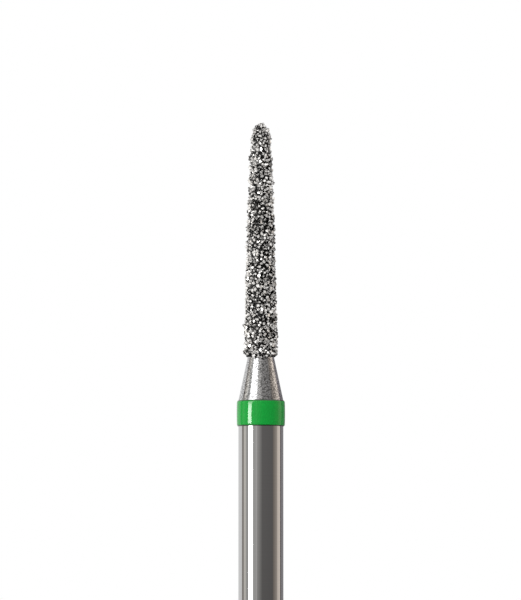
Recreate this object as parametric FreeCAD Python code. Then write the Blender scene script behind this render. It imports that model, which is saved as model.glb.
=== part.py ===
"""Long tapered round-end diamond bur with a friction-grip shank.

Millimetres. +Z runs along the bur from the shank's end face to the tip, and the origin is the centre of
that end face. The pieces are the turned steel blank, the nickel plated round its head, the diamond
grains that stand on the nickel, and the coloured band that tells the grit class.
"""
import FreeCAD, Part

import collections
import math
import os
import random

# Steel blank: a straight shank, a conical neck and a slender tapered core with a rounded tip
shank_diameter = 1.60
shank_length = 11.10
end_flat_diameter = 1.20
end_bevel_length = 0.25
neck_length = 1.53
neck_top_diameter = 0.94
core_length = 8.235
core_half_angle = 1.65
core_tip_length = 0.575
core_nose_radius = 0.11

# Nickel plated round the core
bond_thickness = 0.06
bond_bevel_length = 0.03

# Diamond grains on the nickel
grain_spacing = 0.154
grain_gap = 0.035
grain_width = 0.190
grain_least_side = 0.020
grain_height = 0.090
grain_height_spread = 0.35
grain_top_corners = (3, 3, 4)
grain_top_share = 0.90
grain_top_spread = 0.25
grain_top_tilt = 0.30
grain_tries = 20000
grain_seed = 12

# Coloured band on the shank, with its upper edge at the foot of the neck
band_wall = 0.061
band_crown = 0.008
band_crown_arcs = 3
band_width = 0.93
band_edge_length = 0.085

OUT = FreeCAD.Vector(1, 0, 0)
UP = FreeCAD.Vector(0, 0, 1)

shank_radius = shank_diameter / 2
neck_top_radius = neck_top_diameter / 2
neck_top_z = shank_length + neck_length
core_end_z = neck_top_z + core_length
tip_start_z = core_end_z - core_tip_length
core_slope = math.tan(math.radians(core_half_angle))
core_tip_radius = neck_top_radius - core_slope * (tip_start_z - neck_top_z)
coat_low_z = neck_top_z + bond_bevel_length
grain_reach = grain_width / math.sqrt(2)


def at(radius, z):
    """Gives the point of a lathe outline at this radius and height."""
    return FreeCAD.Vector(radius, 0, z)


# The tip is a long side arc that leaves the taper smoothly and runs as smoothly into a round nose. The
# nickel's tip has the same two centres, so the layer is equally thick all over.
off_taper = FreeCAD.Vector(1, 0, core_slope).normalize()
tip_rim = at(core_tip_radius, tip_start_z)
nose_centre = at(0, core_end_z - core_nose_radius)
nose_to_rim = tip_rim - nose_centre
side_radius = (nose_to_rim.dot(nose_to_rim) - core_nose_radius**2) / (
    2 * (nose_to_rim.dot(off_taper) - core_nose_radius)
)
side_centre = tip_rim - off_taper * side_radius
off_nose = (nose_centre - side_centre).normalize()


def line(start, end):
    """Makes a straight edge."""
    return Part.LineSegment(start, end).toShape()


def arc(centre, radius, first_way, last_way):
    """Makes the arc about a centre from one unit direction to another, the short way round."""
    middle_way = (first_way + last_way).normalize()
    ends = [centre + way * radius for way in (first_way, middle_way, last_way)]
    return Part.Arc(*ends).toShape()


def turned(edges):
    """Turns a closed outline, given as edges in order, once round the Z axis."""
    return Part.Face(Part.Wire(edges)).revolve(FreeCAD.Vector(0, 0, 0), UP, 360)


def tip_arcs(offset):
    """Makes the tip's side and nose arcs, from the taper to the pole, this far outside the core."""
    side = arc(side_centre, side_radius + offset, off_taper, off_nose)
    nose = arc(nose_centre, core_nose_radius + offset, off_nose, UP)
    return [side, nose]


def steel_blank():
    """Turns the blank: bevelled end, shank, neck cone and tapered core."""
    sides = Part.makePolygon(
        [
            at(0, core_end_z),
            at(0, 0),
            at(end_flat_diameter / 2, 0),
            at(shank_radius, end_bevel_length),
            at(shank_radius, shank_length),
            at(neck_top_radius, neck_top_z),
            tip_rim,
        ]
    )
    return turned(sides.Edges + tip_arcs(0))


def coat_outline():
    """Gives the nickel's outer outline above its bevelled lower edge, in edges from there to the pole."""
    low_radius = neck_top_radius - core_slope * bond_bevel_length + bond_thickness / off_taper.x
    taper = line(at(low_radius, coat_low_z), tip_rim + off_taper * bond_thickness)
    return [taper] + tip_arcs(bond_thickness)


def nickel_bond():
    """Turns the plated layer, which starts with a bevel where the head meets the neck."""
    foot = at(neck_top_radius, neck_top_z)
    outer = coat_outline()
    bevel = line(foot, outer[0].firstVertex().Point)
    pole = line(at(0, core_end_z + bond_thickness), at(0, core_end_z))
    return turned([bevel] + outer + [pole] + tip_arcs(0)[::-1] + [line(tip_rim, foot)])


def color_band():
    """Turns the band: a thin crowned sleeve, rounded in to the shank at both edges."""
    rim_radius = shank_radius + band_wall - band_crown
    low_end = at(shank_radius, shank_length - band_width)
    high_end = at(shank_radius, shank_length)
    low_rim = at(rim_radius, low_end.z + band_edge_length)
    high_rim = at(rim_radius, high_end.z - band_edge_length)
    edges = [edge_rounding(low_rim, low_end)]
    edges += crowned_side(low_rim, high_rim)
    edges += [edge_rounding(high_rim, high_end), line(high_end, low_end)]
    return turned(edges)


def crowned_side(low_rim, high_rim):
    """Makes the band's side from several arcs of one circle, so that a coarse mesh keeps the crown."""
    reach = (high_rim.z - low_rim.z) / 2
    radius = (reach**2 + band_crown**2) / (2 * band_crown)
    centre = at(low_rim.x + band_crown - radius, low_rim.z + reach)
    steps = range(-band_crown_arcs, band_crown_arcs + 1, 2)
    turns = [math.asin(reach / radius) * step / band_crown_arcs for step in steps]
    ways = [at(math.cos(turn), math.sin(turn)) for turn in turns]
    return [arc(centre, radius, *pair) for pair in zip(ways, ways[1:])]


def edge_rounding(rim, end):
    """Makes the arc that leaves a rim along the axis and curves in to an end nearer the axis."""
    drop = rim.x - end.x
    reach = rim.z - end.z
    radius = (drop**2 + reach**2) / (2 * drop)
    centre = at(rim.x - radius, rim.z)
    return arc(centre, radius, OUT, (end - centre).normalize())


def place_on(outline, distance, turn):
    """Gives the point this far along an outline, turned about the axis, and the way out from there."""
    for edge in outline:
        if distance <= edge.Length:
            break
        distance -= edge.Length
    spot = edge.getParameterByLength(min(distance, edge.Length))
    along = edge.tangentAt(spot)
    rotation = FreeCAD.Rotation(UP, turn)
    way_out = FreeCAD.Vector(along.z, 0, -along.x)
    return rotation.multVec(edge.valueAt(spot)), rotation.multVec(way_out)


class Seats:
    """The places where grains stand, kept by layers of height so that those near one are soon found.

    A seat is a point of the nickel's surface and the way out of the nickel there. A layer is as high as
    the greatest distance at which two grains could meet, or two seats be too close.
    """

    layer_height = max(grain_spacing, 2 * grain_reach + grain_gap)

    def __init__(self):
        self.layers = collections.defaultdict(list)

    def add(self, point, way_out):
        """Keeps one more seat."""
        self.layers[int(point.z / self.layer_height)].append((point, way_out))

    def near(self, point):
        """Gives the points of all seats near this one, itself included if it is kept."""
        layer = int(point.z / self.layer_height)
        return [p for number in (layer - 1, layer, layer + 1) for p, _ in self.layers[number]]

    def every(self):
        """Gives all seats, in order of height."""
        return [seat for _, layer in sorted(self.layers.items()) for seat in layer]


def scattered_seats(chance):
    """Scatters seats over the nickel, the first at the pole and none nearer to another than the spacing."""
    outline = coat_outline()
    length = sum(edge.Length for edge in outline)
    seats = Seats()
    seats.add(*place_on(outline, length, 0))
    for _ in range(grain_tries):
        distance = chance.uniform(grain_spacing / 2, length)
        point, way_out = place_on(outline, distance, chance.uniform(0, 360))
        if all(point.distanceToPoint(other) >= grain_spacing for other in seats.near(point)):
            seats.add(point, way_out)
    return seats


def ring(corners, reach, start):
    """Gives the corners of a regular ring on the XY plane."""
    turns = [start + 2 * math.pi * number / corners for number in range(corners)]
    return [FreeCAD.Vector(reach * math.cos(turn), reach * math.sin(turn), 0) for turn in turns]


def cut_back(corners, way, limit):
    """Cuts a convex ring of corners back to where it reaches no further than the limit along a way."""
    kept = []
    for last, corner in zip(corners[-1:] + corners, corners):
        last_over = last.dot(way) - limit
        over = corner.dot(way) - limit
        if last_over * over < 0:
            kept.append(last + (corner - last) * (last_over / (last_over - over)))
        if over <= 0:
            kept.append(corner)
    return kept


def without_short_sides(corners):
    """Leaves out each corner of a ring that is too close to the one before."""
    kept = []
    for last, corner in zip(corners[-1:] + corners, corners):
        if corner.distanceToPoint(last) >= grain_least_side:
            kept.append(corner)
    return kept


def foot_and_room(point, way_in, seats, start):
    """Gives the foot of the grain at this point, and the radius of the circle that fits inside it.

    The foot is a square on the XY plane, cut back to half a gap before the middle plane between this
    seat and each one near it, and to the lower edge of the coat. The nickel bends away from the foot,
    so what stands on the foot stays clear of what stands on the next one.
    """
    foot = ring(4, grain_reach, start)
    room = grain_width / 2
    cuts = [(way_in.multVec(-UP), point.z - coat_low_z)]
    for other in seats.near(point):
        apart = other.distanceToPoint(point)
        if apart > 0:
            cuts.append((way_in.multVec(other - point).normalize(), (apart - grain_gap) / 2))
    for way, limit in cuts:
        foot = cut_back(foot, way, limit)
        room = min(room, limit)
    return without_short_sides(foot), room


def turn_of(corner):
    """Gives the angle of a corner about the grain's axis."""
    return math.atan2(corner.y, corner.x)


def flat_face(corners):
    """Makes the flat face inside a ring of corners."""
    return Part.Face(Part.makePolygon(corners + corners[:1]))


def side_faces(foot, top):
    """Makes the triangles between the foot's corners and the top's, in one walk round the grain."""
    low = max(foot, key=turn_of)
    high = max(top, key=turn_of)
    faces = []
    for corner in sorted(foot + top, key=turn_of):
        faces.append(flat_face([low, corner, high]))
        if corner.z > 0:
            high = corner
        else:
            low = corner
    return faces


def grain(foot, room, chance):
    """Makes one grain on its foot: a small top, tilted from its full height, and triangular sides."""
    top = ring(chance.choice(grain_top_corners), room * grain_top_share, chance.uniform(0, 2 * math.pi))
    height = grain_height * (1 - grain_height_spread * chance.random())
    high_side = ring(1, 1 / room, chance.uniform(0, 2 * math.pi))[0]
    for corner in top:
        corner.multiply(1 - grain_top_spread * chance.random())
        corner.z = height * (1 - grain_top_tilt * (1 - corner.dot(high_side)) / 2)
    solid = Part.makeSolid(Part.makeShell([flat_face(foot), flat_face(top)] + side_faces(foot, top)))
    if solid.Volume < 0:
        solid.reverse()
    return solid


def diamond_grit():
    """Makes the coat of separate grains, each with its foot flat against the nickel."""
    chance = random.Random(grain_seed)
    seats = scattered_seats(chance)
    grains = []
    for point, way_out in seats.every():
        rotation = FreeCAD.Rotation(UP, way_out)
        foot, room = foot_and_room(point, rotation.inverted(), seats, chance.uniform(0, math.pi / 2))
        solid = grain(foot, room, chance)
        solid.Placement = FreeCAD.Placement(point, rotation)
        grains.append(solid)
    return Part.makeCompound(grains)


os.makedirs("parts", exist_ok=True)
for make in (steel_blank, nickel_bond, diamond_grit, color_band):
    make().exportStep(f"parts/{make.__name__}.step")
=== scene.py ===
"""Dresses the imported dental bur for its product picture.

The bur stands on its shank end at the origin with its tip up, as in the CAD model, and the camera
looks at it from -Y. Shapes are modelled in millimetres, and a finished piece's mesh is scaled to
metres.
"""

import logging
import math
import random
from dataclasses import dataclass
from enum import Enum
from functools import cache
from typing import NamedTuple

import bmesh
import bpy
from mathutils import Matrix, Vector, kdtree, noise


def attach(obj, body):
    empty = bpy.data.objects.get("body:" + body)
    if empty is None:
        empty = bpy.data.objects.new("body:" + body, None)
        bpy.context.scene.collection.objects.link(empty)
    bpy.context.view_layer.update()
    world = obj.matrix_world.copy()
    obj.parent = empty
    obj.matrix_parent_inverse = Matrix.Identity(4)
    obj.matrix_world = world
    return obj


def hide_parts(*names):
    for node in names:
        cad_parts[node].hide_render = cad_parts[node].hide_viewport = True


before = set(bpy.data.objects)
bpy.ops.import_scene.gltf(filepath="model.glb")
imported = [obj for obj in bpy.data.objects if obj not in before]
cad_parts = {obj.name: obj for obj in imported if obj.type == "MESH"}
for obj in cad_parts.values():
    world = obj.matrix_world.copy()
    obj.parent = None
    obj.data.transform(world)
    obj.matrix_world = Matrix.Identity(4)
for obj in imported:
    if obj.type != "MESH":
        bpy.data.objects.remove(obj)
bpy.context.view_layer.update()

MM = 0.001
UP = Vector((0, 0, 1))
FULL_TURN = 2 * math.pi

# Corners of a turned mesh this close are one, and a ring edge is this level, in millimetres
MERGE_DISTANCE = 1e-5
LEVEL_TOLERANCE = 1e-4

# How much the heights of two faces' normals differ where a ring edge is worth rounding
LEAST_BEND = 0.05

# A smoothly shaded piece keeps the edges that are sharper than this
SHARP_ANGLE = math.radians(35)

Color = tuple[float, float, float]
Span = tuple[float, float]
Outline = list[tuple[float, float]]
Socket = bpy.types.NodeSocket

log = logging.getLogger("dental_bur")


class Seat(NamedTuple):
    """A place on the nickel where a crystal stands, and the way out of the nickel there."""

    point: Vector
    way_out: Vector


def between(first: float, last: float, share: float) -> float:
    """Gives the value at a share of the way from one to another."""
    return first + (last - first) * share


def way_at(angle: float) -> Vector:
    """Gives the flat unit direction at an angle in radians."""
    return Vector((math.cos(angle), math.sin(angle)))


def turned(outline: Outline, segments: int, closed: bool = False) -> bmesh.types.BMesh:
    """Turns an outline once round the Z axis into a closed mesh.

    Args:
        outline: Radius and height of each corner, in order, in millimetres.
        segments: Faces round the axis.
        closed: Whether the last corner joins the first. If not, both ends lie on the axis.

    Returns:
        The turned mesh, with its faces pointing outwards.
    """
    mesh = bmesh.new()
    corners = [mesh.verts.new((radius, 0, z)) for radius, z in outline]
    followers = corners[1:] + corners[:1] if closed else corners[1:]
    edges = [mesh.edges.new(pair) for pair in zip(corners, followers)]
    bmesh.ops.spin(
        mesh, geom=corners + edges, cent=(0, 0, 0), axis=UP, dvec=(0, 0, 0), angle=FULL_TURN,
        steps=segments, use_merge=True,
    )
    bmesh.ops.remove_doubles(mesh, verts=mesh.verts, dist=MERGE_DISTANCE)
    bmesh.ops.recalc_face_normals(mesh, faces=mesh.faces)
    return mesh


def held(outline: Outline, gap: float) -> Outline:
    """Adds a corner close to either side of each inner corner, so that long sides shade evenly.

    Args:
        outline: Radius and height of each corner, in order.
        gap: How far the added corners are from the corner that they hold.

    Returns:
        The outline with the added corners.
    """
    points = outline[:1]
    for number in range(1, len(outline) - 1):
        before, corner, after = (Vector(point) for point in outline[number - 1:number + 2])
        points.append(tuple(corner + (before - corner).normalized() * gap))
        points.append(tuple(corner))
        points.append(tuple(corner + (after - corner).normalized() * gap))
    return points + outline[-1:]


def bends_at(edge: bmesh.types.BMEdge, z: float) -> bool:
    """Tells whether an edge lies level at this height with a bend between its two faces."""
    level = all(abs(vert.co.z - z) < LEVEL_TOLERANCE for vert in edge.verts)
    rises = [face.normal.z for face in edge.link_faces]
    return level and len(rises) == 2 and abs(rises[0] - rises[1]) > LEAST_BEND


def round_ring(mesh: bmesh.types.BMesh, z: float, width: float, segments: int = 3) -> None:
    """Rounds the ring edge at one height of a turned mesh.

    Args:
        mesh: The turned mesh.
        z: Height of the ring, in millimetres.
        width: How far the rounding reaches from the ring along each face.
        segments: Faces across the rounding.
    """
    ring = [edge for edge in mesh.edges if bends_at(edge, z)]
    bmesh.ops.bevel(
        mesh, geom=ring, offset=width, offset_type="OFFSET", affect="EDGES", segments=segments,
        profile=0.5, material=-1, clamp_overlap=True,
    )


@dataclass(frozen=True)
class HeadShape:
    """The tapered, round-ended head, whose nickel follows the steel core at an even distance.

    The tip is a long side arc that leaves the taper smoothly and runs as smoothly into a round
    nose.
    """

    foot_radius: float = 0.47
    foot_z: float = 12.63
    end_z: float = 20.865
    tip_length: float = 0.575
    half_angle: float = 1.65
    nose_radius: float = 0.11
    core_step: float = 2.0
    core_arc_steps: int = 4

    def core_outline(self) -> Outline:
        """Gives the outline of the core, in long steps, as the coat hides it."""
        return self.outline(0, 0, self.core_step, self.core_arc_steps)

    def outline(
        self, offset: float, start_rise: float, taper_step: float, arc_steps: int
    ) -> Outline:
        """Gives the outline of a layer over the core, from its foot to the pole.

        Args:
            offset: Distance of the layer's surface outside the core.
            start_rise: How far above the core's foot the outline starts.
            taper_step: Length of the steps up the taper.
            arc_steps: Steps along each of the tip's arcs.

        Returns:
            Radius and height of each corner.
        """
        taper_angle = math.radians(self.half_angle)
        slope = math.tan(taper_angle)
        off_taper = way_at(taper_angle)
        rim_z = self.end_z - self.tip_length
        rim = Vector((self.foot_radius - slope * (rim_z - self.foot_z), rim_z))
        nose = Vector((0, self.end_z - self.nose_radius))
        reach = rim - nose
        side_radius = (reach.dot(reach) - self.nose_radius**2) / (
            2 * (reach.dot(off_taper) - self.nose_radius)
        )
        side = rim - off_taper * side_radius
        join_angle = math.atan2(nose.y - side.y, nose.x - side.x)
        low_radius = self.foot_radius - slope * start_rise + offset / off_taper.x
        low = Vector((low_radius, self.foot_z + start_rise))
        high = rim + off_taper * offset
        taper_steps = max(1, round((high - low).length / taper_step))
        points = [low.lerp(high, number / taper_steps) for number in range(taper_steps)]
        for centre, radius, start, end in (
            (side, side_radius + offset, taper_angle, join_angle),
            (nose, self.nose_radius + offset, join_angle, math.pi / 2),
        ):
            for number in range(arc_steps):
                angle = start + (end - start) * number / arc_steps
                points.append(centre + way_at(angle) * radius)
        points.append(nose + Vector((0, self.nose_radius + offset)))
        return [(point.x, point.y) for point in points]


class NodeBench:
    """Adds nodes to one node tree and joins them."""

    def __init__(self, tree: bpy.types.NodeTree) -> None:
        """Takes the tree that the nodes go into."""
        self.tree = tree

    def add(self, kind: str, inputs: dict | None = None, **settings: object) -> bpy.types.Node:
        """Adds a node.

        Args:
            kind: The node's type name, without its ShaderNode prefix.
            inputs: Values for its sockets, or sockets to join to them.
            settings: The node's own settings.

        Returns:
            The node.
        """
        prefix = "" if kind.startswith("NodeGroup") else "ShaderNode"
        node = self.tree.nodes.new(prefix + kind)
        for name, value in settings.items():
            setattr(node, name, value)
        self.feed(node, inputs or {})
        return node

    def feed(self, node: bpy.types.Node, inputs: dict) -> None:
        """Sets sockets of a node, given by name or number, or joins them to others.

        Args:
            node: The node.
            inputs: A value or another node's socket for each socket.
        """
        for key, value in inputs.items():
            if isinstance(value, Socket):
                self.tree.links.new(value, node.inputs[key])
            else:
                node.inputs[key].default_value = value

    def work_out(self, operation: str, *values: Socket | float, clamp: bool = False) -> Socket:
        """Works out a sum, product or the like.

        Args:
            operation: The name of the Math node's operation.
            values: Its numbers, or the sockets that give them.
            clamp: Whether the result stays between 0 and 1.

        Returns:
            The result.
        """
        node = self.add("Math", dict(enumerate(values)), operation=operation, use_clamp=clamp)
        return node.outputs[0]

    def sharpen(self, mask: Socket, contrast: Socket) -> Socket:
        """Multiplies a mask's contrast about its middle."""
        from_middle = self.work_out("SUBTRACT", mask, 0.5)
        stronger = self.work_out("MULTIPLY", from_middle, contrast)
        return self.work_out("ADD", stronger, 0.5, clamp=True)

    def spread(self, mask: Socket, low: float, high: float) -> Socket:
        """Spreads a mask that runs from 0 to 1 between two other values."""
        node = self.add("MapRange", {"Value": mask, "To Min": low, "To Max": high})
        return node.outputs["Result"]

    def blend(self, mask: Socket, first: Color | Socket, second: Color | Socket) -> Socket:
        """Blends two colours, or the sockets that give them, by a mask, the first where it is 0."""
        first, second = (
            color if isinstance(color, Socket) else (*color, 1) for color in (first, second)
        )
        node = self.add("MixRGB", {"Fac": mask, "Color1": first, "Color2": second})
        return node.outputs["Color"]

    def raised(self, mask: Socket, height: float) -> Socket:
        """Gives the normals of a surface that a mask raises by up to a height in millimetres."""
        node = self.add("Bump", {"Strength": 1.0, "Distance": height * MM, "Height": mask})
        return node.outputs["Normal"]

    def place(self) -> Socket:
        """Gives the place on the piece, in metres."""
        return self.add("TexCoord").outputs["Object"]


def emptied_bench(owner: bpy.types.Material | bpy.types.World) -> NodeBench:
    """Gives the bench of a material's or world's node tree, emptied first."""
    owner.use_nodes = True
    owner.node_tree.nodes.clear()
    return NodeBench(owner.node_tree)


def mask_group(name: str, inputs: dict[str, float]) -> tuple[NodeBench, bpy.types.NodeOutputs]:
    """Starts a shared node group that puts out a mask.

    Args:
        name: The group's name.
        inputs: The inputs' names and their values where none are given.

    Returns:
        The bench to add its nodes with, and the sockets that give its inputs.
    """
    tree = bpy.data.node_groups.new(name, "ShaderNodeTree")
    for socket, value in inputs.items():
        made = tree.interface.new_socket(socket, in_out="INPUT", socket_type="NodeSocketFloat")
        made.default_value = value
    tree.interface.new_socket("Mask", in_out="OUTPUT", socket_type="NodeSocketFloat")
    bench = NodeBench(tree)
    return bench, bench.add("NodeGroupInput").outputs


@cache
def lathe_marks_group() -> bpy.types.NodeTree:
    """Makes the shared group of fine cutting marks that run round a turned part.

    Returns:
        A group with the marks' density along and round the axis, per metre, and their contrast.
    """
    bench, given = mask_group("lathe_marks", {"Along": 30000.0, "Around": 500.0, "Contrast": 1.0})
    density = bench.add("CombineXYZ", {0: given["Around"], 1: given["Around"], 2: given["Along"]})
    scaled = bench.add(
        "VectorMath", {0: bench.place(), 1: density.outputs[0]}, operation="MULTIPLY"
    )
    marks = bench.add(
        "TexNoise", {"Vector": scaled.outputs[0], "Scale": 1.0, "Detail": 3.0, "Roughness": 0.6}
    )
    mask = bench.sharpen(marks.outputs["Fac"], given["Contrast"])
    bench.add("NodeGroupOutput", {"Mask": mask})
    return bench.tree


@cache
def mottle_group() -> bpy.types.NodeTree:
    """Makes the shared group of soft spots that no finish is free of.

    Returns:
        A group with the spots' density, per metre, and their contrast.
    """
    bench, given = mask_group("mottle", {"Density": 5000.0, "Contrast": 1.0})
    spots = bench.add(
        "TexNoise", {"Vector": bench.place(), "Scale": given["Density"], "Detail": 4.0}
    )
    mask = bench.sharpen(spots.outputs["Fac"], given["Contrast"])
    bench.add("NodeGroupOutput", {"Mask": mask})
    return bench.tree


def new_finish(name: str, values: dict) -> tuple[bpy.types.Material, NodeBench, bpy.types.Node]:
    """Starts a material on one Principled shader.

    Args:
        name: The material's name.
        values: The shader's values that are the same all over.

    Returns:
        The material, the bench to add its nodes with, and the shader.
    """
    material = bpy.data.materials.new(name)
    material.use_nodes = True
    bench = NodeBench(material.node_tree)
    shader = material.node_tree.nodes["Principled BSDF"]
    bench.feed(shader, values)
    return material, bench, shader


@dataclass(frozen=True)
class MarkedSteel:
    """Stainless steel with the fine marks of the tool that cut or ground it."""

    name: str
    color: Color
    mark_color: Color
    roughness: Span
    marks_along: float
    marks_around: float
    mark_contrast: float
    mark_depth: float

    def material(self) -> bpy.types.Material:
        """Makes the finish's material."""
        material, bench, shader = new_finish(self.name, {"Metallic": 1.0})
        marks = bench.add(
            "Group",
            {
                "Along": self.marks_along,
                "Around": self.marks_around,
                "Contrast": self.mark_contrast,
            },
            node_tree=lathe_marks_group(),
        )
        mask = marks.outputs["Mask"]
        smooth, rough = self.roughness
        bench.feed(shader, {
            "Base Color": bench.blend(mask, self.mark_color, self.color),
            "Roughness": bench.spread(mask, rough, smooth),
            "Normal": bench.raised(mask, self.mark_depth),
        })
        return material


@dataclass(frozen=True)
class BandEnamel:
    """Glossy green enamel, a little clouded, with painted shade darkening it towards the band's
    edges.
    """

    name: str = "green_enamel"
    color: Color = (0.005, 0.36, 0.044)
    # Painted shade: the near-black green that the enamel darkens to at the band's edges
    edge_shade_color: Color = (0.001, 0.02, 0.004)
    cloud_color: Color = (0.006, 0.345, 0.042)
    clouds_per_metre: float = 1500.0
    roughness: Span = (0.04, 0.06)
    shade_reach: float = 0.06
    shade_width: float = 0.015

    def material(self, low_z: float, high_z: float) -> bpy.types.Material:
        """Makes the finish's material.

        Args:
            low_z: Height of the band's lower edge, in millimetres.
            high_z: Height of its upper edge.

        Returns:
            The material.
        """
        material, bench, shader = new_finish(self.name, {"Metallic": 0.0, "IOR": 1.5})
        clouds = bench.add("Group", {"Density": self.clouds_per_metre}, node_tree=mottle_group())
        mask = clouds.outputs["Mask"]
        height = bench.add("SeparateXYZ", {0: bench.place()}).outputs["Z"]
        off_middle = bench.work_out("SUBTRACT", height, (low_z + high_z) / 2 * MM)
        distance = bench.work_out("ABSOLUTE", off_middle)
        half = (high_z - low_z) / 2
        # Painted shade: a mask that rises towards both edges of the band and darkens the enamel
        # there
        edge = bench.add(
            "MapRange",
            {
                "Value": distance,
                "From Min": (half - self.shade_reach) * MM,
                "From Max": (half - self.shade_width) * MM,
            },
            interpolation_type="SMOOTHSTEP",
        )
        clouded = bench.blend(mask, self.cloud_color, self.color)
        bench.feed(shader, {
            "Base Color": bench.blend(edge.outputs["Result"], clouded, self.edge_shade_color),
            "Roughness": bench.spread(mask, *self.roughness),
        })
        return material


@dataclass(frozen=True)
class NickelPlate:
    """Rough nickel plating, painted near black as the shade between the crystals, its roughness
    changing over its hollows, and with painted shade darker still in them.
    """

    name: str = "nickel_plate"
    # Painted shade: far darker than bare nickel, standing in for the shade between the crystals
    color: Color = (0.06, 0.059, 0.057)
    # Painted shade: the near black of the hollows
    hollow_shade_color: Color = (0.004, 0.004, 0.004)
    roughness: Span = (0.45, 0.65)
    hollows_per_metre: float = 30000.0
    hollow_contrast: float = 2.5
    hollow_depth: float = 0.004

    def material(self) -> bpy.types.Material:
        """Makes the finish's material."""
        material, bench, shader = new_finish(self.name, {"Metallic": 1.0})
        hollows = bench.add(
            "Group",
            {"Density": self.hollows_per_metre, "Contrast": self.hollow_contrast},
            node_tree=mottle_group(),
        )
        mask = hollows.outputs["Mask"]
        bench.feed(shader, {
            # Painted shade: the hollows darken to near black
            "Base Color": bench.blend(mask, self.hollow_shade_color, self.color),
            "Roughness": bench.spread(mask, *self.roughness),
            "Normal": bench.raised(mask, self.hollow_depth),
        })
        return material


@dataclass(frozen=True)
class DiamondCrystal:
    """Synthetic diamond, painted at random in small near-white fields as painted glints and
    near-black fields as painted shade and dark reflections; the near-white fields are partly mirror
    too.
    """

    name: str = "diamond_crystal"
    # Painted shade and dark reflections: the colour of the near-black fields
    dark: Color = (0.002, 0.002, 0.002)
    # Painted glints: the colour of the near-white fields
    bright: Color = (0.97, 0.95, 0.92)
    roughness: Span = (0.05, 0.15)
    fields_per_metre: float = 20000.0
    field_contrast: float = 12.0
    facet_share: float = 0.6
    # Share of the fields that carry painted glints
    bright_share: float = 0.60
    mirror: float = 0.55

    def material(self) -> bpy.types.Material:
        """Makes the finish's material."""
        material, bench, shader = new_finish(self.name, {"IOR": 1.5, "Specular IOR Level": 0.2})
        fields = bench.add("TexVoronoi", {"Vector": bench.place(), "Scale": self.fields_per_metre})
        field = bench.add("SeparateColor", {0: fields.outputs["Color"]}).outputs[0]
        tone = bench.add("Attribute", attribute_name="tone", attribute_type="GEOMETRY")
        both = bench.add("Mix", {0: self.facet_share, 2: field, 3: tone.outputs["Fac"]})
        middle = 1 - self.bright_share
        half = 0.5 / self.field_contrast
        # The painted glints' mask, which is 0 where the painted shade and dark reflections are
        bright = bench.add(
            "MapRange",
            {"Value": both.outputs[0], "From Min": middle - half, "From Max": middle + half},
        )
        mask = bright.outputs["Result"]
        bench.feed(shader, {
            "Base Color": bench.blend(mask, self.dark, self.bright),
            "Metallic": bench.spread(mask, 0.0, self.mirror),
            "Roughness": bench.spread(field, *self.roughness),
        })
        return material


def object_of(
    name: str, mesh: bmesh.types.BMesh, materials: list[bpy.types.Material]
) -> bpy.types.Object:
    """Makes an object of a mesh in millimetres.

    Args:
        name: The object's name.
        mesh: Its shape, which is used up.
        materials: Its materials, in the order of the faces' material numbers.

    Returns:
        The object.
    """
    bmesh.ops.scale(mesh, vec=(MM, MM, MM), verts=mesh.verts)
    data = bpy.data.meshes.new(name)
    mesh.to_mesh(data)
    mesh.free()
    for material in materials:
        data.materials.append(material)
    made = bpy.data.objects.new(name, data)
    bpy.context.scene.collection.objects.link(made)
    return made


def staged(
    name: str, mesh: bmesh.types.BMesh, material: bpy.types.Material
) -> bpy.types.Object:
    """Makes an object that belongs to the studio and not to the bur.

    Args:
        name: The object's name.
        mesh: Its shape in millimetres, which is used up.
        material: Its material.

    Returns:
        The object.
    """
    stage = object_of(name, mesh, [material])
    return stage


class Shading(Enum):
    """How a piece's faces meet in its shading."""

    SMOOTH = 0
    FACETED = 1


def finished(
    name: str,
    node: str,
    mesh: bmesh.types.BMesh,
    finishes: list[bpy.types.Material],
    shading: Shading,
) -> bpy.types.Object:
    """Makes a piece of the bur, in place of the CAD node that it dresses.

    Args:
        name: The piece's name.
        node: The CAD node that it stands for.
        mesh: Its shape in millimetres, which is used up.
        finishes: Its materials, in the order of the faces' material numbers.
        shading: How its faces meet in its shading.

    Returns:
        The piece.
    """
    piece = object_of(name, mesh, finishes)
    if shading is Shading.SMOOTH:
        piece.data.shade_smooth()
        piece.data.set_sharp_from_angle(angle=SHARP_ANGLE)
    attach(piece, "root")
    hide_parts(node)
    log.info("%s: %d faces", name, len(piece.data.polygons))
    return piece


@dataclass
class SteelBlank:
    """The one turned piece of steel: shank, conical neck and the core inside the head."""

    head: HeadShape
    shank_radius: float = 0.80
    shank_length: float = 11.10
    end_flat_radius: float = 0.60
    end_bevel_length: float = 0.25
    edge_rounding: float = 0.02
    segments: int = 160

    def build(self) -> bmesh.types.BMesh:
        """Turns the blank and rounds its ring edges.

        Returns:
            The blank's mesh, with material number 0 on the shank and 1 above it.
        """
        foot = [
            (0, 0),
            (self.end_flat_radius, 0),
            (self.shank_radius, self.end_bevel_length),
            (self.shank_radius, self.shank_length),
        ]
        core = self.head.core_outline()
        outline = held(foot + core[:2], 2 * self.edge_rounding) + core[2:]
        mesh = turned(outline, self.segments)
        for z in (0, self.end_bevel_length, self.shank_length):
            round_ring(mesh, z, self.edge_rounding)
        for face in mesh.faces:
            face.material_index = int(face.calc_center_median().z > self.shank_length)
        return mesh

    def dress(self) -> bpy.types.Object:
        """Finishes the blank: a ground and polished shank under a neck with coarser marks."""
        shank = MarkedSteel(
            name="ground_steel",
            color=(0.62, 0.62, 0.62),
            mark_color=(0.59, 0.59, 0.59),
            roughness=(0.006, 0.010),
            marks_along=26000,
            marks_around=300,
            mark_contrast=2.0,
            mark_depth=0.00001,
        )
        neck = MarkedSteel(
            name="turned_steel",
            color=(0.80, 0.80, 0.80),
            mark_color=(0.20, 0.20, 0.20),
            roughness=(0.07, 0.13),
            marks_along=24000,
            marks_around=20000,
            mark_contrast=6.0,
            mark_depth=0.0008,
        )
        finishes = [shank.material(), neck.material()]
        return finished("blank", "steel_blank", self.build(), finishes, Shading.SMOOTH)


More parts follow.
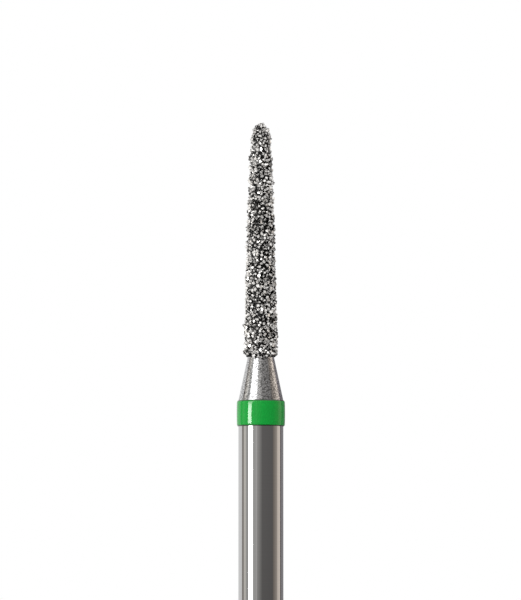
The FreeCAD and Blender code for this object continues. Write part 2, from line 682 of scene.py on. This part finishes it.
@dataclass
class ColorBand:
    """The enamel band round the top of the shank."""

    shank_radius: float = 0.80
    wall: float = 0.061
    crown: float = 0.007
    low_z: float = 10.17
    high_z: float = 11.10
    edge_length: float = 0.085
    edge_steps: int = 6
    crown_steps: int = 8
    segments: int = 160

    def outline(self) -> Outline:
        """Gives the band's closed outline.

        Returns:
            Radius and height of each corner, from the inner wall's lower end out and up to its
            upper end: a rounded edge, the crowned side and the other rounded edge.
        """
        rim_radius = self.shank_radius + self.wall - self.crown
        edge = []
        for number in range(1, self.edge_steps):
            turn = math.pi / 2 * number / self.edge_steps
            radius = between(self.shank_radius, rim_radius, math.sin(turn))
            edge.append((radius, self.edge_length * (1 - math.cos(turn))))
        side_length = self.high_z - self.low_z - 2 * self.edge_length
        side = []
        for number in range(self.crown_steps + 1):
            share = number / self.crown_steps
            radius = rim_radius + self.crown * (1 - (2 * share - 1) ** 2)
            side.append((radius, self.low_z + self.edge_length + side_length * share))
        low = [(radius, self.low_z + rise) for radius, rise in edge]
        high = [(radius, self.high_z - rise) for radius, rise in reversed(edge)]
        ends = [(self.shank_radius, z) for z in (self.low_z, self.high_z)]
        return ends[:1] + low + side + high + ends[1:]

    def dress(self) -> bpy.types.Object:
        """Finishes the band in green enamel."""
        mesh = turned(self.outline(), self.segments, closed=True)
        finish = BandEnamel().material(self.low_z, self.high_z)
        return finished("band", "color_band", mesh, [finish], Shading.SMOOTH)


def spot_along(outline: list[Vector], distance: float) -> tuple[Vector, Vector]:
    """Finds a point of an outline.

    Args:
        outline: The outline's corners.
        distance: How far along the outline the point is.

    Returns:
        The point, and the direction of the outline there.
    """
    for start, end in zip(outline, outline[1:]):
        length = (end - start).length
        if distance <= length:
            break
        distance -= length
    return start.lerp(end, min(1, distance / length)), (end - start).normalized()


@dataclass
class Coat:
    """The diamond coat as a whole: the nickel's outer side and the crystals' seats on it."""

    head: HeadShape
    nickel_thickness: float = 0.06
    outline_step: float = 0.3
    outline_arc_steps: int = 10
    low_edge_rise: float = 0.115
    spacing: float = 0.095
    tries: int = 30000
    seed: int = 11
    tip_from: float = 20.4
    tip_share: float = 0.80

    def scatter(self) -> list[Seat]:
        """Scatters the crystals' seats over the nickel, none too near another.

        The coat's lower edge lies lowest in front and behind, and rises towards the two sides.

        Returns:
            The seats, the first at the pole.
        """
        chance = random.Random(self.seed)
        corners = self.head.outline(
            self.nickel_thickness, 0, self.outline_step, self.outline_arc_steps
        )
        outline = [Vector(corner) for corner in corners]
        total = sum((end - start).length for start, end in zip(outline, outline[1:]))
        layers: dict[int, list[Vector]] = {}
        seats = []
        for number in range(self.tries):
            turn = Matrix.Rotation(chance.uniform(0, FULL_TURN), 3, "Z")
            low_edge = self.low_edge_rise * (1 - turn.col[0].y ** 2)
            distance = chance.uniform(low_edge, total) if number else total
            spot, along = spot_along(outline, distance)
            point = turn @ Vector((spot.x, 0, spot.y))
            layer = int(point.z / self.spacing)
            near = [p for k in (layer - 1, layer, layer + 1) for p in layers.get(k, [])]
            gap = self.spacing * self.size_share(point.z)
            if all((p - point).length >= gap for p in near):
                layers.setdefault(layer, []).append(point)
                seats.append(Seat(point, turn @ Vector((along.y, 0, -along.x))))
        return seats

    def size_share(self, z: float) -> float:
        """Gives the crystals' size at a height as a share of the others', smaller on the nose."""
        rise = (z - self.tip_from) / (self.head.end_z - self.tip_from)
        return 1 - (1 - self.tip_share) * min(1, max(0, rise))


@dataclass
class NickelBond:
    """The nickel plated round the core, a little lumpy and raised where it grips a crystal.

    The grip's reach is a share of the seats' spacing.
    """

    coat: Coat
    start_rise: float = 0.03
    step: float = 0.045
    arc_steps: int = 14
    segments: int = 128
    grip_from: float = 12.7
    grip_reach: float = 0.75
    grip_height: float = 0.022
    nose_from: float = 20.3
    lumps_per_millimetre: float = 14.0
    lump_height: float = 0.006
    sink: float = 0.008

    def faces_out(self, vert: bmesh.types.BMVert) -> bool:
        """Tells whether a corner of the nickel is on its outer side."""
        from_axis = Vector((vert.co.x, vert.co.y, max(0, vert.co.z - self.nose_from)))
        return vert.normal.dot(from_axis) > 0

    def build(self, seats: list[Seat]) -> bmesh.types.BMesh:
        """Turns the nickel layer and raises its outer side round each seat.

        Args:
            seats: The crystals' seats.

        Returns:
            The layer's mesh.
        """
        coat = self.coat
        outer = coat.head.outline(
            coat.nickel_thickness, self.start_rise, self.step, self.arc_steps
        )
        mesh = turned(outer[::-1] + coat.head.core_outline(), self.segments)
        tree = kdtree.KDTree(len(seats))
        for number, seat in enumerate(seats):
            tree.insert(seat.point, number)
        tree.balance()
        mesh.normal_update()
        for vert in mesh.verts:
            place = vert.co
            if place.z < self.grip_from or not self.faces_out(vert):
                continue
            _, _, distance = tree.find(place)
            grip = max(0, 1 - distance / (coat.spacing * self.grip_reach))
            lump = noise.noise(place * self.lumps_per_millimetre) * self.lump_height
            vert.co = place + vert.normal * (self.grip_height * grip * grip - self.sink + lump)
        return mesh

    def dress(self, seats: list[Seat]) -> bpy.types.Object:
        """Finishes the layer in rough nickel plating."""
        mesh = self.build(seats)
        finish = NickelPlate().material()
        return finished("bond", "nickel_bond", mesh, [finish], Shading.SMOOTH)


@dataclass
class Grit:
    """The diamond crystals, in a few dozen broken shapes, that stand on the seats.

    A crystal's reach is in millimetres, and how far it stands up is a share of its reach. Each pair
    in swell is a height and how much further out than at the coat's foot the crystals stand there.
    """

    coat: Coat
    shape_count: int = 36
    cube_side: float = 1.5
    stretch: Span = (0.8, 1.1)
    cuts: tuple[int, int] = (4, 6)
    cut_distance: Span = (0.50, 0.85)
    reach: Span = (0.050, 0.080)
    stand: Span = (0.05, 0.40)
    tilt: float = 0.6
    lumps_per_millimetre: float = 7.0
    lump_height: float = 0.07
    swell: tuple[Span, ...] = (
        (12.6, 0.0), (14.5, 0.022), (17.0, 0.030), (19.0, 0.020), (20.1, -0.010),
        (20.4, -0.015), (20.7, 0.015), (21.0, 0.042),
    )

    def swell_at(self, z: float) -> float:
        """Gives how much further out than at the coat's foot the crystals stand at a height."""
        for (low, low_swell), (high, high_swell) in zip(self.swell, self.swell[1:]):
            if z <= high:
                break
        return between(low_swell, high_swell, min(1, max(0, (z - low) / (high - low))))

    def crystal(self, chance: random.Random) -> bpy.types.Mesh:
        """Breaks one crystal out of a cube by cutting its corners off.

        Args:
            chance: The source of its shape.

        Returns:
            A closed mesh whose corners are about 1 from its centre.
        """
        mesh = bmesh.new()
        bmesh.ops.create_cube(mesh, size=self.cube_side)
        stretch = [chance.uniform(*self.stretch) for _ in range(3)]
        bmesh.ops.scale(mesh, vec=stretch, verts=mesh.verts)
        for _ in range(chance.randint(*self.cuts)):
            way = Vector([chance.gauss(0, 1) for _ in range(3)]).normalized()
            cut = bmesh.ops.bisect_plane(
                mesh, geom=mesh.verts[:] + mesh.edges[:] + mesh.faces[:],
                plane_co=way * chance.uniform(*self.cut_distance), plane_no=way,
                clear_outer=True,
            )
            rim = [e for e in cut["geom_cut"] if isinstance(e, bmesh.types.BMEdge)]
            if rim:
                bmesh.ops.holes_fill(mesh, edges=rim, sides=0)
        bmesh.ops.recalc_face_normals(mesh, faces=mesh.faces)
        data = bpy.data.meshes.new("crystal")
        mesh.to_mesh(data)
        mesh.free()
        return data

    def pose(self, seat: Seat, chance: random.Random) -> Matrix:
        """Gives the size, turn and place of one crystal.

        Args:
            seat: Its seat.
            chance: The source of what differs from crystal to crystal.

        Returns:
            The matrix that sets a crystal of size 1 on the seat.
        """
        point, way_out = seat
        reach = chance.uniform(*self.reach) * self.coat.size_share(point.z)
        stand = reach * chance.uniform(*self.stand) + self.swell_at(point.z)
        stand += noise.noise(point * self.lumps_per_millimetre) * self.lump_height
        top = way_out + Vector([chance.gauss(0, self.tilt) for _ in range(3)])
        lean = top.to_track_quat("Z", "Y").to_matrix().to_4x4()
        turn = lean @ Matrix.Rotation(chance.uniform(0, FULL_TURN), 4, "Z")
        return Matrix.Translation(point + way_out * stand) @ turn @ Matrix.Scale(reach, 4)

    def build(self, seats: list[Seat]) -> bmesh.types.BMesh:
        """Sets a crystal on every seat.

        Args:
            seats: The crystals' seats.

        Returns:
            The crystals' mesh, with a tone from 0 to 1 on each facet.
        """
        chance = random.Random(self.coat.seed + 1)
        shapes = [self.crystal(chance) for _ in range(self.shape_count)]
        grit = bmesh.new()
        tone = grit.faces.layers.float.new("tone")
        for seat in seats:
            shape = chance.choice(shapes).copy()
            shape.transform(self.pose(seat, chance))
            known = len(grit.faces)
            grit.from_mesh(shape)
            grit.faces.ensure_lookup_table()
            for face in grit.faces[known:]:
                face[tone] = chance.random()
            bpy.data.meshes.remove(shape)
        for shape in shapes:
            bpy.data.meshes.remove(shape)
        return grit

    def dress(self, seats: list[Seat]) -> bpy.types.Object:
        """Finishes the crystals as diamond."""
        mesh = self.build(seats)
        finish = DiamondCrystal().material()
        return finished("grit", "diamond_grit", mesh, [finish], Shading.FACETED)


@dataclass(frozen=True)
class Card:
    """One upright panel of the light tent, bright or dark, between two directions from the bur.

    Directions are in degrees from the camera's side, with the camera's left negative. The panel may
    lean sideways towards its top, and its light may change with height.
    """

    start: float
    end: float
    start_light: float
    end_light: float
    tint: Color = (1, 1, 1)
    start_lean: float = 0.0
    end_lean: float = 0.0
    top_gain: float = 1.6
    middle_gains: Span | None = None

    def gains(self, heights: tuple[float, ...]) -> list[float]:
        """Gives the light at four heights, from foot to top, as a share of that at the foot."""
        if self.middle_gains:
            return [1.0, *self.middle_gains, self.top_gain]
        return [between(1, self.top_gain, height / heights[-1]) for height in heights]

    def share_at(self, place: Vector) -> float:
        """Gives how far across the card a place is, from 0 at its start to 1 at its end."""
        turn = (math.degrees(math.atan2(place.y, place.x)) - self.start + 90) % 360
        just_before_start = turn > 180  # by rounding
        return 0 if just_before_start else min(1, turn / (self.end - self.start))


@dataclass
class Studio:
    """The camera, the pale floor, the white surroundings and the light tent round the bur.

    Matt surfaces see soft_light in place of the cards: a smooth light from its least to its most,
    which it gives in the direction soft_side.
    """

    camera_distance: float = 150.0
    camera_z: float = 4.05
    aim_z: float = 14.68
    aim_x: float = -0.0125
    frame_height: float = 21.32
    tent_radius: float = 100.0
    tent_heights: tuple[float, ...] = (0.0, 18.0, 26.0, 75.0)
    tent_limits: Span = (0.0, 100.0)
    card_step: float = 4.0
    lean_from: float = 20.0
    soft_side: float = -48.0
    soft_light: Span = (0.22, 2.05)
    floor_radius: float = 400.0
    floor_cards_from: float = 1.0
    floor_gap: float = 0.03
    floor_card_limits: Span = (0.15, 1.5)
    surrounding_light: float = 0.8
    cards: tuple[Card, ...] = (
        Card(-176, -113, 0.80, 0.85, top_gain=1.2),
        Card(-113, -98, 0.31, 0.31, (1.0, 0.92, 0.86), top_gain=1.2),
        Card(-98, -84, 0.62, 0.74, (1.0, 0.96, 0.89)),
        Card(-84, -66, 0.45, 0.42, (1.0, 0.99, 0.96), end_lean=6),
        Card(
            -63.6, -45.6, 15.0, 15.0, start_lean=4.4, end_lean=32.4, top_gain=0.12,
            middle_gains=(1.0, 0.32),
        ),
        Card(-45.6, -43.7, 1.8, 1.8, start_lean=32.4, end_lean=28, top_gain=1.1),
        Card(
            -43.5, -30, 0.66, 0.41, (1.0, 0.99, 0.96), start_lean=28, end_lean=26, top_gain=1.1
        ),
        Card(-30, -20, 0.41, 0.51, (1.0, 0.98, 0.96), top_gain=2.0),
        Card(-20, 6, 0.33, 0.14, (1.0, 0.97, 0.94), top_gain=3.0),
        Card(6, 64, 0.135, 0.12, (1.0, 0.96, 0.94), top_gain=2.2),
        Card(64, 92, 0.17, 0.42, (1.0, 0.88, 0.78)),
        Card(92, 116, 0.66, 0.84, (1.0, 0.89, 0.79), end_lean=4),
        Card(
            116.5, 125, 0.05, 0.05, (1.0, 0.80, 0.96), start_lean=4, end_lean=8, top_gain=6.0
        ),
        Card(125.5, 176, 0.28, 0.28, (1.0, 0.96, 1.0), start_lean=8, top_gain=1.0),
    )

    def set_camera(self) -> None:
        """Places the camera low in front of the bur, tilted a little up."""
        data = bpy.data.cameras.new("camera")
        data.lens = data.sensor_width * self.camera_distance / self.frame_height
        data.clip_start = 0.001
        data.clip_end = 10
        camera = bpy.data.objects.new("camera", data)
        camera.location = Vector((self.aim_x, -self.camera_distance, self.camera_z)) * MM
        aim = Vector((self.aim_x, 0, self.aim_z)) * MM
        camera.rotation_euler = (aim - camera.location).to_track_quat("-Z", "Y").to_euler()
        bpy.context.scene.collection.objects.link(camera)
        bpy.context.scene.camera = camera

    def set_floor(self) -> None:
        """Lays the pale floor under the bur."""
        pale = {"Base Color": (0.86, 0.86, 0.86, 1), "Roughness": 0.9}
        material, _, _ = new_finish("pale_floor", pale)
        mesh = bmesh.new()
        bmesh.ops.create_circle(mesh, cap_ends=True, segments=96, radius=self.floor_radius)
        staged("floor", mesh, material)

    def lean_at(self, card: Card, share: float, height: float) -> float:
        """Gives how many degrees sideways a card leans at a share of its width and a height."""
        rise = (height - self.lean_from) / (self.tent_heights[-1] - self.lean_from)
        return between(card.start_lean, card.end_lean, share) * max(0, rise)

    def card_mesh(self, corners: Outline, limits: Span) -> bmesh.types.BMesh:
        """Spreads each card round the bur along one outline.

        Args:
            corners: Radius and height of the outline's corners.
            limits: The least and the most light that a card gives.

        Returns:
            The cards' mesh, with the light that glossy and matt surfaces see in two colours.
        """
        mesh = bmesh.new()
        light = mesh.verts.layers.float_color.new("light")
        soft = mesh.verts.layers.float_color.new("soft")
        for card in self.cards:
            known = len(mesh.verts)
            way = way_at(math.radians(card.start - 90)).to_3d()
            posts = [mesh.verts.new(way * radius + UP * height) for radius, height in corners]
            width = card.end - card.start
            edges = [mesh.edges.new(pair) for pair in zip(posts, posts[1:])]
            bmesh.ops.spin(
                mesh, geom=posts + edges, cent=(0, 0, 0), axis=UP, dvec=(0, 0, 0),
                angle=math.radians(width), steps=max(2, round(width / self.card_step)),
            )
            gains = dict(zip(self.tent_heights, card.gains(self.tent_heights)))
            mesh.verts.ensure_lookup_table()
            for vert in mesh.verts[known:]:
                share = card.share_at(vert.co)
                gain = gains.get(vert.co.z, 1.0)
                level = between(card.start_light, card.end_light, share) * gain
                level = min(limits[1], max(limits[0], level))
                vert[light] = (*[level * part for part in card.tint], 1)
                lean = self.lean_at(card, share, vert.co.z)
                vert.co = Matrix.Rotation(math.radians(lean), 3, "Z") @ vert.co
                off_side = between(card.start, card.end, share) + lean - self.soft_side
                level = between(*self.soft_light, max(0, math.cos(math.radians(off_side))))
                vert[soft] = (level, level, level, 1)
        return mesh

    def set_tent(self) -> None:
        """Stands the cards round the bur out of the camera's sight, and mirrors them on the floor.

        The cards on the floor are seen in reflections only.
        """
        material = bpy.data.materials.new("tent_cards")
        bench = emptied_bench(material)
        sharp, soft = (
            bench.add("Attribute", attribute_name=name, attribute_type="GEOMETRY").outputs["Color"]
            for name in ("light", "soft")
        )
        matt = bench.add("LightPath").outputs["Is Diffuse Ray"]
        color = bench.blend(matt, sharp, soft)
        shine = bench.add("Emission", {"Color": color, "Strength": 1.0})
        bench.add("OutputMaterial", {"Surface": shine.outputs[0]})
        material.cycles.emission_sampling = "NONE"
        upright = [(self.tent_radius, height) for height in self.tent_heights]
        tent = staged("light_tent", self.card_mesh(upright, self.tent_limits), material)
        flat = [(radius, self.floor_gap) for radius in (self.floor_cards_from, self.tent_radius)]
        mirrored = staged("floor_cards", self.card_mesh(flat, self.floor_card_limits), material)
        tent.visible_camera = mirrored.visible_camera = False
        mirrored.visible_diffuse = mirrored.visible_shadow = False

    def set_surroundings(self) -> None:
        """Makes the surroundings white where they are seen, and a plain light elsewhere."""
        world = bpy.data.worlds.new("surroundings")
        bpy.context.scene.world = world
        bench = emptied_bench(world)
        path = bench.add("LightPath").outputs
        seen = bench.work_out("MAXIMUM", path["Is Camera Ray"], path["Is Glossy Ray"])
        seen = bench.work_out("MAXIMUM", seen, path["Is Transmission Ray"])
        light, white = (
            bench.add("Background", {"Color": (1, 1, 1, 1), "Strength": strength}).outputs[0]
            for strength in (self.surrounding_light, 1.0)
        )
        mix = bench.add("MixShader", {0: seen, 1: light, 2: white})
        bench.add("OutputWorld", {"Surface": mix.outputs[0]})

    def set_up(self) -> None:
        """Sets up the whole studio."""
        bpy.context.scene.view_settings.view_transform = "Standard"
        self.set_camera()
        self.set_floor()
        self.set_tent()
        self.set_surroundings()


def main() -> None:
    """Builds and dresses every piece, then sets up the studio."""
    logging.basicConfig(level=logging.INFO, format="%(name)s: %(message)s")
    head = HeadShape()
    SteelBlank(head).dress()
    ColorBand().dress()
    coat = Coat(head)
    seats = coat.scatter()
    log.info("%d crystals", len(seats))
    NickelBond(coat).dress(seats)
    Grit(coat).dress(seats)
    Studio().set_up()


if __name__ == "__main__":
    main()
